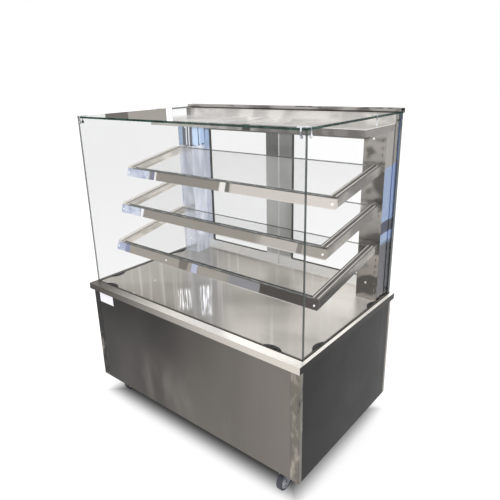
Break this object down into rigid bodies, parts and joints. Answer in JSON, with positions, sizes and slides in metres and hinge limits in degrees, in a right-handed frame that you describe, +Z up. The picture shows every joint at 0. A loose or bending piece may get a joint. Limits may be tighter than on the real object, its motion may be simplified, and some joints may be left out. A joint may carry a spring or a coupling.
{
  "type": "ambient display case",
  "caption": "Glass display case on a steel cabinet with castors, sloping glass shelves, a lamp canopy and hinged rear doors.",
  "frame": {"origin": "on the floor under the middle of the case", "axes": "+Z up, customer side faces -Y, staff side faces +Y"},
  "size_m": [1.2, 0.75, 1.392],
  "materials": {
    "satin_steel": "satin stainless steel sheet",
    "polished_steel": "polished stainless steel",
    "shelf_steel": "brushed stainless steel, folded",
    "frame_steel": "painted square tube",
    "dark_steel": "dark steel bar",
    "chrome": "bright plated",
    "zinc": "zinc plated steel",
    "case_glass": "clear float glass with green edges",
    "black_rubber": "black rubber",
    "black_plastic": "black plastic",
    "lens_plastic": "opal plastic",
    "white_paint": "white paint",
    "tyre": "dark grey rubber tyre",
    "hub": "light grey plastic",
    "label": "bare metal plate"
  },
  "bodies": {
    "case": {"frame_tubes": "frame_steel", "castor_gussets": "frame_steel", "corner_posts": "polished_steel", "front_panel": "satin_steel", "rear_panel": "satin_steel", "side_panels": "satin_steel", "floor_tray": "satin_steel", "deck": "satin_steel", "glass_gasket": "black_rubber", "half_moon_pads": "black_rubber", "front_glass": "case_glass", "side_glass": "case_glass", "top_glass": "case_glass", "glass_screws": "chrome", "glass_connectors": "chrome", "columns": "polished_steel", "edge_strips": "dark_steel", "canopy": "shelf_steel", "lamp_batten": "white_paint", "lamp_lens": "lens_plastic", "rear_header": "satin_steel", "header_cap": "polished_steel", "shelf_strips": "black_rubber", "dome_screws": "chrome", "hinge_blocks": "satin_steel", "castor_plates": "zinc", "castor_bolts": "zinc", "switch_housing": "black_plastic", "cord_gland": "black_plastic", "lamp_driver": "black_plastic", "lamp_cable": "black_plastic", "blank_label": "label", "shelf_1_rail": "shelf_steel", "shelf_1_frame": "shelf_steel", "shelf_1_glass": "case_glass", "shelf_2_rail": "shelf_steel", "shelf_2_frame": "shelf_steel", "shelf_2_glass": "case_glass", "shelf_3_rail": "shelf_steel", "shelf_3_frame": "shelf_steel", "shelf_3_glass": "case_glass"},
    "door_left": {"door_frame_left": "satin_steel", "door_pane_left": "case_glass", "door_pull_left": "chrome"},
    "door_right": {"door_frame_right": "satin_steel", "door_pane_right": "case_glass", "door_pull_right": "chrome"},
    "castor_front_left": {"castor_fork_front_left": "zinc"},
    "wheel_front_left": {"castor_hub_front_left": "hub", "castor_tyre_front_left": "tyre"},
    "castor_front_right": {"castor_fork_front_right": "zinc"},
    "wheel_front_right": {"castor_hub_front_right": "hub", "castor_tyre_front_right": "tyre"},
    "castor_rear_left": {"castor_fork_rear_left": "zinc"},
    "wheel_rear_left": {"castor_hub_rear_left": "hub", "castor_tyre_rear_left": "tyre"},
    "castor_rear_right": {"castor_fork_rear_right": "zinc"},
    "wheel_rear_right": {"castor_hub_rear_right": "hub", "castor_tyre_rear_right": "tyre"},
    "rocker": {"switch_rocker": "black_plastic"}
  },
  "joints": [
    {"name": "door_left_hinge", "type": "hinge", "parent": "case", "child": "door_left", "pos_m": [-0.5175, 0.364, 0.9], "axis": [0, 0, 1], "range_deg": [0, 110]},
    {"name": "door_right_hinge", "type": "hinge", "parent": "case", "child": "door_right", "pos_m": [0.5175, 0.364, 0.9], "axis": [0, 0, -1], "range_deg": [0, 110]},
    {"name": "castor_front_left_swivel", "type": "hinge", "parent": "case", "child": "castor_front_left", "pos_m": [-0.5, -0.296, 0.09], "axis": [0, 0, 1], "continuous": true},
    {"name": "wheel_front_left_spin", "type": "hinge", "parent": "castor_front_left", "child": "wheel_front_left", "pos_m": [-0.5, -0.271, 0.0375], "axis": [1, 0, 0], "continuous": true},
    {"name": "castor_front_right_swivel", "type": "hinge", "parent": "case", "child": "castor_front_right", "pos_m": [0.5, -0.296, 0.09], "axis": [0, 0, 1], "continuous": true},
    {"name": "wheel_front_right_spin", "type": "hinge", "parent": "castor_front_right", "child": "wheel_front_right", "pos_m": [0.5, -0.321, 0.0375], "axis": [1, 0, 0], "continuous": true},
    {"name": "castor_rear_left_swivel", "type": "hinge", "parent": "case", "child": "castor_rear_left", "pos_m": [-0.5, 0.296, 0.09], "axis": [0, 0, 1], "continuous": true},
    {"name": "wheel_rear_left_spin", "type": "hinge", "parent": "castor_rear_left", "child": "wheel_rear_left", "pos_m": [-0.5, 0.271, 0.0375], "axis": [1, 0, 0], "continuous": true},
    {"name": "castor_rear_right_swivel", "type": "hinge", "parent": "case", "child": "castor_rear_right", "pos_m": [0.5, 0.296, 0.09], "axis": [0, 0, 1], "continuous": true},
    {"name": "wheel_rear_right_spin", "type": "hinge", "parent": "castor_rear_right", "child": "wheel_rear_right", "pos_m": [0.5, 0.271, 0.0375], "axis": [1, 0, 0], "continuous": true},
    {"name": "switch_rocker_tilt", "type": "hinge", "parent": "case", "child": "rocker", "pos_m": [0.43, 0.357, 0.52], "axis": [1, 0, 0], "range_deg": [0, 20]}
  ]
}
